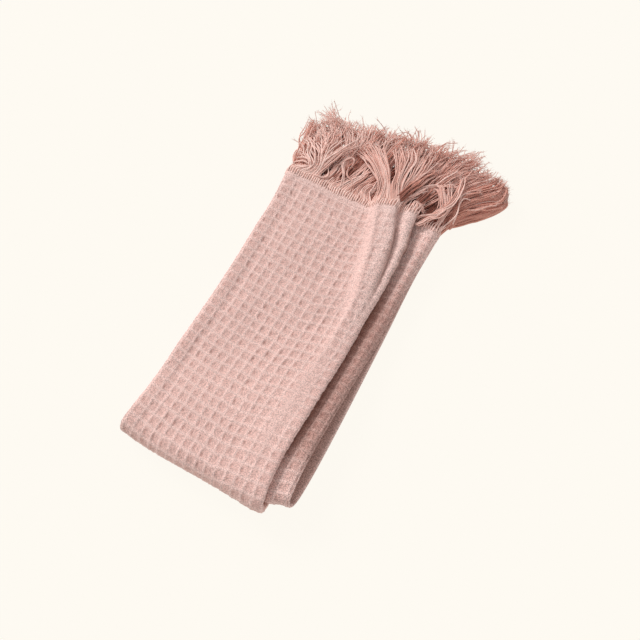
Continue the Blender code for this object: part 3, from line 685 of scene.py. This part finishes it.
# The lowest and furthest tufts, finer and more curled, and a few yarns that close gaps in the top ones
backLocks = {
    "sweepE": (None, 41, 8, 4, 0.5, 2, ((101, 210, 9), (107, 227, 11.5), (112, 236, 12), (118, 244, 11.5),
        (123, 251, 9), (124, 257, 7))),
    "sweepF": (None, 41, 8, 4, 0.6, 3.5, ((97, 215, 9), (104, 237, 11), (110, 245, 11.5), (115, 251, 10),
        (118, 258, 8))),
    "sweepG": (None, 41, 9, 4, 0.8, 4.5, ((92, 215, 8), (99, 243, 10), (103, 251, 10), (107, 258, 9),
        (109, 263, 7))),
    "farA": (None, 41, 10, 4, 0.9, 5.5, ((86, 215, 8), (91, 240, 10), (94, 252, 10), (97, 260, 8),
        (99, 264, 6))),
    "farB": (None, 41, 10, 4, 0.9, 6, ((78, 215, 8), (82, 240, 10), (84, 254, 10), (86, 263, 8),
        (87, 268, 6))),
    "farC": (None, 41, 11, 4, 0.9, 6, ((66, 215, 8), (68, 240, 10), (69, 252, 10), (71, 262, 8),
        (71, 267, 6))),
    "farD": (None, 41, 11, 4, 0.9, 6, ((52, 212, 8), (53, 235, 10), (54, 250, 10), (55, 259, 8),
        (56, 264, 6))),
    "farE": (None, 37, 14, 4, 0.9, 6, ((39, 212, 8), (37, 232, 10), (36, 246, 10), (35, 254, 8),
        (34, 258, 6))),
    "backTuftA": (None, 41, 9, 4, 0.8, 4.5, ((26, 214, 8), (20, 232, 10), (11, 246, 9.5), (3, 251, 8),
        (-4, 254, 6))),
    "backTuftB": (None, 37, 9, 4, 0.8, 4, ((22, 210, 8), (15, 226, 10), (6, 236, 9), (-1, 241, 7),
        (-6, 243, 5))),
    "backTuftC": (None, 32, 8, 4, 0.8, 3.5, ((18, 208, 8), (11, 220, 9), (4, 228, 8), (-2, 233, 7),
        (-6, 235, 5))),
    "backTuftD": (None, 41, 9, 4, 0.8, 4.5, ((32, 214, 8), (27, 236, 10), (19, 247, 10), (12, 251, 8),
        (5, 254, 6))),
    "gapFill": (None, 9, 4.5, 2, 0.3, 1, ((57, 201, 12), (59, 205, 13.8), (59.5, 210, 14.2),
        (58, 218, 13))),
    "hollowFill": (None, 11, 5, 2, 0.4, 1, ((90, 210, 8), (94, 217, 10.5), (98, 224, 12), (102, 231, 12))),
    "hollowUp": (None, 9, 6, 2, 0.6, 2, ((90, 207, 11), (94, 213, 13.5), (99, 220, 14.5), (105, 227, 14))),
    "midFill": (None, 14, 7, 2.5, 0.3, 1, ((60, 208, 8), (61, 220, 9.5), (63, 231, 9.5), (65, 242, 8))),
    "backTuftE": (None, 37, 10, 4, 0.8, 2.5, ((88, 215, 8), (96, 243, 10), (101, 254, 10), (106, 263, 8),
        (109, 268, 6))),
}


def smoothPath(points, count):
    return evenCurve(points, count, 160, openEnds=True, apart=1e-3)


def waver(draw, count, size):
    along = np.linspace(0, 1, count)
    out = np.zeros((count, 3))
    for waves in (0.8, 1.7, 3.1):
        push = draw.normal(0, size / waves**0.7, 3) * (1, 1, 0.5)
        out += push * np.sin(2 * math.pi * (waves * along[:, None] + draw.uniform(0, 1, 3)))
    return out * eased(along * 1.6)[:, None]


def curledPath(path, axis, degrees):
    # Each step turns further about the axis, from where the curl starts to the tip
    steps = np.diff(path, axis=0)
    place, curled = np.linspace(0, 1, len(steps)), fringe["curledShare"]
    turned = np.radians(degrees) * np.clip((place - 1 + curled) / curled, 0, 1) ** 1.2
    cos, sin = np.cos(turned)[:, None], np.sin(turned)[:, None]
    steps = steps * cos + np.cross(axis, steps) * sin + axis * (steps @ axis)[:, None] * (1 - cos)
    return path[0] + np.stack([runningSum(values) for values in steps.T], axis=1)


def yarnPath(points, stray, curl, draw, keep, clump, steps):
    path = smoothPath(points, steps)
    rest = eased(np.linspace(0, 1, len(path)) * 4)[:, None]  # a yarn is held at its root
    path += waver(draw, len(path), stray) * rest
    axis = clump["axis"] + draw.normal(0, 0.3, 3)
    axis /= np.linalg.norm(axis)
    degrees = fringe["curlDegrees"] * curl * (clump["curl"] + draw.normal(0, 0.45))
    path = curledPath(path, axis, degrees)
    place = np.linspace(0, 1, len(path))
    path = pathAt(path, place, place * keep)
    path[:, 2] = np.maximum(path[:, 2], lowestYarn)
    return path


def endRoot(end, across, lift):
    inside, length = fringe["insideCloth"], weave["length"]
    here, edge = (inside, 0.0) if end == "upper" else (length - inside, length)
    inner, outer, beside = (surfaceAt(np.array([x]), np.array([y]))[0]
                            for x, y in ((across, here), (across, edge), (across + 0.5, here)))
    side, away = beside - inner, outer - inner
    if end == "upper":
        normal = np.cross(side, away)
        facing = -1 if 100 <= across <= 200 else 1  # the middle layer lies face down
        normal = normal if normal[2] * facing >= 0 else -normal
    else:
        normal = np.cross(away, side)
    return inner + normal / np.linalg.norm(normal) * lift, away / np.linalg.norm(away)


def lockToneAndShade(start):
    # How light its yarns are painted: painted shade on the lowest locks at the right, painted light on those
    # at the left edge
    if start[0] > 98 and start[2] < 9.5:
        return 0.0, 0.25
    return (0.45, 1.0) if start[0] < 24 else (0.25, 0.85)


def lockYarns(lock, end, draw):
    way = np.array(lock["points"], float)
    facing = way[-1] - way[-2]
    sideways = np.array([facing[1], -facing[0], 0.0])
    sideways /= np.linalg.norm(sideways) + 1e-9
    roots, toneAndShade = lock["roots"], lock.get("toneAndShade", lockToneAndShade(way[0]))
    made = []
    for k in range(lock["yarns"]):
        if k % fringe["clump"] == 0:
            centre = min((k + 0.5 * fringe["clump"]) / lock["yarns"], 1.0)
            clump = {"axis": draw.normal(0, 1, 3) * (0.35, 0.35, 1)}
            clump["curl"] = draw.choice([-1, 1]) * draw.uniform(0.5, 1.3)
        place = (k + draw.uniform(0.2, 0.8)) / lock["yarns"]
        high = draw.uniform(-0.5, 0.5) * lock["deep"]
        tipPlace = place + lock.get("gather", 0.0) * (centre - place)
        tip = sideways * (tipPlace - 0.5) * lock["wide"] + (0, 0, high)
        if roots:
            root, away = endRoot(end, roots[0] + place * (roots[1] - roots[0]),
                                 draw.uniform(*lock.get("lift", fringe["lift"])))
            near = np.array([(place - 0.5) * (roots[1] - roots[0]) * 0.7, 0, 0.6 * high])
            ahead = root + away * (fringe["insideCloth"] + 1.2) + (0, 0, 0.3)
        else:
            near = sideways * (place - 0.5) * lock["wide"] * 0.7 + (0, 0, high)
        share = np.linspace(0, 1, len(way))[:, None]
        points = way + near * (1 - eased(share * 1.3)) + tip * eased(share * 1.3)
        if roots:
            points = np.concatenate([[root], [ahead], points])
        keep = 1 - min(abs(draw.normal(0, 0.04)), 0.12)
        steps = lock.get("steps", topYarn["steps"])
        path = yarnPath(points, lock["stray"], lock["curl"], draw, keep, clump, steps)
        tone = draw.uniform(*toneAndShade)
        if lock.get("paintedShadeAtRoots"):  # painted shade: the roots of the tufts that lie under others are painted darker, as little light reaches them
            tone = tone - (tone + 1) * (1 - eased((np.linspace(0, 1, len(path)) - 0.25) / 0.45))
        made.append((path, tone))
    return made


def fannedTuft(end, across, draw):
    half = 0.5 * fringe["tuftWidth"]
    root, _ = endRoot(end, across, 0.0)
    isTop = end == "upper" and across < fringe["topLayerTo"]
    turned = np.clip(draw.normal(0, 6), -9 if root[0] > 20 else -2, 9 if root[0] < 90 else 2)
    heading = math.radians(float(fromTable(fan, 1, root[0])) + turned)
    length = fringe["length"] * float(fromTable(fan, 2, root[0])) * draw.uniform(0.92, 1.02)
    length *= fringe["topShare"] if isTop else 1
    late = float(fromTable(fan, 3, root[0]))
    sink = fringe["sink"][end] * root[2] + (fringe["topSink"] if isTop else 0)
    swing, lift = draw.normal(0, 2.5), draw.uniform(0, 2.5)
    swing = abs(swing) if root[0] < 14 else -abs(swing) if root[0] > 98 else swing
    points = [(root[0] + length * math.sin(heading) * part**late + swing * math.sin(3 * part),
               root[1] + length * math.cos(heading) * part,
               root[2] - sink * part**1.5 + lift * math.sin(3 * part))
              for part in (0.25, 0.5, 0.75, 1.0)]
    # Except near the left edge, the roots of these tufts, which lie under the locks, are painted in shade
    return {"roots": (max(across - half, 0.6), min(across + half, weave["width"] - 0.6)), "points": points,
            "yarns": round(fringe["tuftWidth"] / fringe["yarnSpacing"]), "wide": draw.uniform(7, 11),
            "deep": 2.5, "stray": 0.8, "curl": 1.5 if root[0] < 100 else 0.8, "lift": (-0.4, 0.4),
            "toneAndShade": (0.0, 0.8), "paintedShadeAtRoots": root[0] > 16}


def combedRoots(end, draw):
    made = []
    for across in np.arange(0.8, weave["width"] - 0.6, fringe["rootSpacing"]):
        root, away = endRoot(end, across + draw.uniform(-0.15, 0.15), 1.05)
        inside = fringe["rootInside"] * draw.uniform(0.65, 1.2)
        back = root - away * (inside - fringe["insideCloth"])
        edge = root + away * (fringe["insideCloth"] + 0.5)
        side = draw.normal(1.2, 0.8)
        out = edge + away * fringe["rootOutside"] * draw.uniform(0.7, 1.2) + (side, 0, -0.9)
        start = back - (0, 0, 0.45 if end == "upper" and across < fringe["topLayerTo"] else 0)
        path = smoothPath([start, root, edge, out], topYarn["steps"] // 2)
        path[:, 2] = np.maximum(path[:, 2], lowestYarn)
        made.append((path, draw.uniform(0.75, 1.0)))
    return made


def allYarns(end, draw):
    tufts = [fannedTuft(end, across, draw) for across in np.arange(4.0, weave["width"], fringe["tuftWidth"])]
    if end == "upper":
        tufts += [dict(zip(lockColumns, row)) for row in locks.values()]
    return [yarn for tuft in tufts for yarn in lockYarns(tuft, end, draw)] + combedRoots(end, draw)


def yarnTree():
    tree = bpy.data.node_groups.new("yarns along paths", "GeometryNodeTree")
    face = tree.interface
    for name, kind in (("Geometry", "Geometry"), ("Sides", "Int"), ("Kink", "Float"),
                       ("Kinks per metre", "Float"), ("Seed", "Float"), ("Material", "Material")):
        face.new_socket(name, in_out="INPUT", socket_type="NodeSocket" + kind)
    face.new_socket("Geometry", in_out="OUTPUT", socket_type="NodeSocketGeometry")
    given = addNode(tree, "NodeGroupInput").outputs
    curves = addNode(tree, "GeometryNodeMeshToCurve", {"Mesh": given["Geometry"]})
    noise = addNode(tree, "ShaderNodeTexNoise", {"W": given["Seed"], "Scale": given["Kinks per metre"],
                                                 "Detail": 1.0}, noise_dimensions="4D")
    centred = addNode(tree, "ShaderNodeVectorMath", {0: noise.outputs["Color"], 1: (0.5, 0.5, 0.5)},
                      operation="SUBTRACT")
    along = addNode(tree, "GeometryNodeSplineParameter").outputs["Factor"]
    free = addNode(tree, "ShaderNodeMapRange", {"Value": along, "From Min": 0.04, "From Max": 0.4})
    size = addNode(tree, "ShaderNodeMath", {0: given["Kink"], 1: free}, operation="MULTIPLY")
    push = addNode(tree, "ShaderNodeVectorMath", {0: centred, "Scale": size}, operation="SCALE")
    kinked = addNode(tree, "GeometryNodeSetPosition", {"Geometry": curves, "Offset": push})
    profile = addNode(tree, "GeometryNodeCurvePrimitiveCircle", {"Resolution": given["Sides"], "Radius": 1.0})
    width = addNode(tree, "GeometryNodeInputNamedAttribute", {"Name": "yarnSize"}, data_type="FLOAT")
    tube = addNode(tree, "GeometryNodeCurveToMesh", {"Curve": kinked, "Profile Curve": profile,
                                                     "Scale": width, "Fill Caps": True})
    smooth = addNode(tree, "GeometryNodeSetShadeSmooth", {"Geometry": tube})
    real = addNode(tree, "GeometryNodeRealizeInstances", {"Geometry": smooth})
    painted = addNode(tree, "GeometryNodeSetMaterial", {"Geometry": real, "Material": given["Material"]})
    result = addNode(tree, "NodeGroupOutput")
    tree.links.new(painted.outputs[0], result.inputs["Geometry"])
    return tree


def yarnPiece(name, tree, paths, material, kind):
    points, edges, sizes, tonesAndShades = [], [], [], []
    for path, widths, toneAndShade in paths:
        first = len(points)
        points += ((path + towelShift) * mm).tolist()
        edges += [(first + k, first + k + 1) for k in range(len(path) - 1)]
        sizes += (0.5 * np.asarray(widths) * mm).tolist()
        tonesAndShades += (np.zeros(len(path)) + toneAndShade).tolist()
    guide = bpy.data.meshes.new(name + "_paths")
    guide.from_pydata(points, edges, [])
    addValues(guide, "yarnSize", sizes)
    addValues(guide, "yarnToneAndShade", tonesAndShades)
    piece = addObject(name, guide)
    maker = piece.modifiers.new("yarns", "NODES")
    maker.node_group = tree
    values = {"Sides": kind["sides"], "Kink": kind["kink"] * mm, "Kinks per metre": kind["kinksPerMetre"],
              "Seed": 4.0, "Material": material}
    for item in tree.interface.items_tree:
        if item.in_out == "INPUT" and item.name in values:
            maker[item.identifier] = values[item.name]
    graph = bpy.context.evaluated_depsgraph_get()
    mesh = bpy.data.meshes.new_from_object(piece.evaluated_get(graph))
    mesh.name = name
    spots = np.empty(len(mesh.vertices) * 3, np.float32)
    mesh.vertices.foreach_get("co", spots)
    spots[2::3] = np.maximum(spots[2::3], 0.05 * mm)  # nothing reaches below what the towel lies on
    mesh.vertices.foreach_set("co", spots)
    piece.modifiers.clear()
    piece.data = mesh
    bpy.data.meshes.remove(guide)
    print(name, len(paths), "yarns,", len(mesh.polygons), "faces")
    return piece


def tipsOf(paths, draw):
    made = []
    at = np.linspace(0, 1, tipFibre["steps"])[:, None]
    widths = tipFibre["width"] * (1 - 0.5 * at[:, 0])
    for path, _, toneAndShade in paths:
        heading = path[-1] - path[-3]
        heading /= np.linalg.norm(heading)
        for _ in range(fringe["tipFibres"]):
            spread = draw.normal(0, 0.5, 3)
            length = fringe["tipLength"] * draw.uniform(0.5, 1.1)
            start = path[-1] + draw.normal(0, 0.12, 3) - heading * 0.8
            line = start + (heading * at + spread * at**1.7) * length
            line[:, 2] = np.maximum(line[:, 2], 0.2)
            made.append((line, widths, min(1.0, float(np.max(toneAndShade)) + 0.6)))
    return made


def readyYarns(yarns, width, draw):
    ready = []
    for path, toneAndShade in yarns:
        taper = 1 - (1 - fringe["tipTaper"]) * eased((np.linspace(0, 1, len(path)) - 0.8) / 0.2)
        ready.append((path, width * draw.uniform(0.85, 1.1) * taper, toneAndShade))
    return ready


def fringePieces(material):
    tree = yarnTree()
    draw = np.random.default_rng(fringe["seed"])
    made = {}
    for end in ("upper", "lower"):
        ready = readyYarns(allYarns(end, draw), topYarn["width"], draw)
        tips = tipsOf(ready, draw)
        made[end] = [yarnPiece(f"fringe_{end}_yarns", tree, ready, material, topYarn)]
        if end == "upper":
            fine = []
            for row in backLocks.values():
                lock = dict(zip(lockColumns, row), steps=backYarn["steps"], gather=fringe["backGather"])
                # Painted light and shade: the furthest tufts at the left are painted lighter, those at the
                # right darker
                lock["toneAndShade"] = (0.6, 1.1) if lock["points"][0][0] < 60 else (0.15, 0.7)
                fine += lockYarns(lock, end, draw)
            fine = readyYarns(fine, backYarn["width"], draw)
            tips += tipsOf(fine, draw)[::2]
            made[end].append(yarnPiece("fringe_upper_back", tree, fine, material, backYarn))
        made[end].append(yarnPiece(f"fringe_{end}_tips", tree, tips, material, tipFibre))
    return made


# A lit pale table: part of its light is its own, so that shadows on it stay faint
paperFinish = {"colour": "#fefaf2", "ownGlow": 0.97, "roughness": 1.0, "sheen": 0.0, "sheenRoughness": 0.5,
               "specular": 0.0}
# In metres, and the sun's softness in degrees
studio = {
    "cameraAt": (0.0819, -0.1869, 0.3717), "lookAt": (0.0034, -0.0285, 0.014), "lens": 38.25,
    "lightFrom": (-1.0, 0.42, 0.66), "lightStrength": 2.45, "lightSoftness": 20.0,
    "skyStrength": 0.6, "floorSide": 4.0,
}


def turnedTo(way):
    return way.to_track_quat("-Z", "Y").to_euler()


def setStudio():
    scene = bpy.context.scene
    camera = addObject("camera", bpy.data.cameras.new("camera"))
    camera.location = studio["cameraAt"]
    camera.rotation_euler = turnedTo(Vector(studio["lookAt"]) - camera.location)
    camera.data.lens = studio["lens"]
    camera.data.clip_start = 0.01
    scene.camera = camera
    material, _, shader = newMaterial("pale_paper", paperFinish)
    paper, glow = linear(paperFinish["colour"]), paperFinish["ownGlow"]
    shader.inputs["Base Color"].default_value = (*[c * (1 - glow) for c in paper[:3]], 1.0)
    shader.inputs["Emission Color"].default_value = paper
    shader.inputs["Emission Strength"].default_value = glow
    half = 0.5 * studio["floorSide"]
    mesh = bpy.data.meshes.new("pale_floor")
    corners = [(-half, -half, 0), (half, -half, 0), (half, half, 0), (-half, half, 0)]
    mesh.from_pydata(corners, [], [(0, 1, 2, 3)])
    mesh.materials.append(material)
    addObject("pale_floor", mesh)
    sun = addObject("soft_window", bpy.data.lights.new("soft_window", "SUN"))
    sun.data.energy = studio["lightStrength"]
    sun.data.angle = math.radians(studio["lightSoftness"])
    sun.rotation_euler = turnedTo(-Vector(studio["lightFrom"]))
    world = bpy.data.worlds.new("studio")
    world.use_nodes = True
    sky = world.node_tree.nodes["Background"].inputs
    sky["Color"].default_value = (1.0, 1.0, 1.0, 1.0)
    sky["Strength"].default_value = studio["skyStrength"]
    scene.world = world
    scene.view_settings.view_transform = "Standard"


setStudio()
print("studio set")
clothMaterial, yarnMaterial = waffleCotton(), twistedCotton()
cloth = clothPiece(clothMaterial)
fringes = fringePieces(yarnMaterial)
print("towel made")

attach(cloth, "root")
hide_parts("towel_cloth")
for end, pieces in fringes.items():
    for piece in pieces:
        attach(piece, "root")
    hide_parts(f"fringe_{end}")
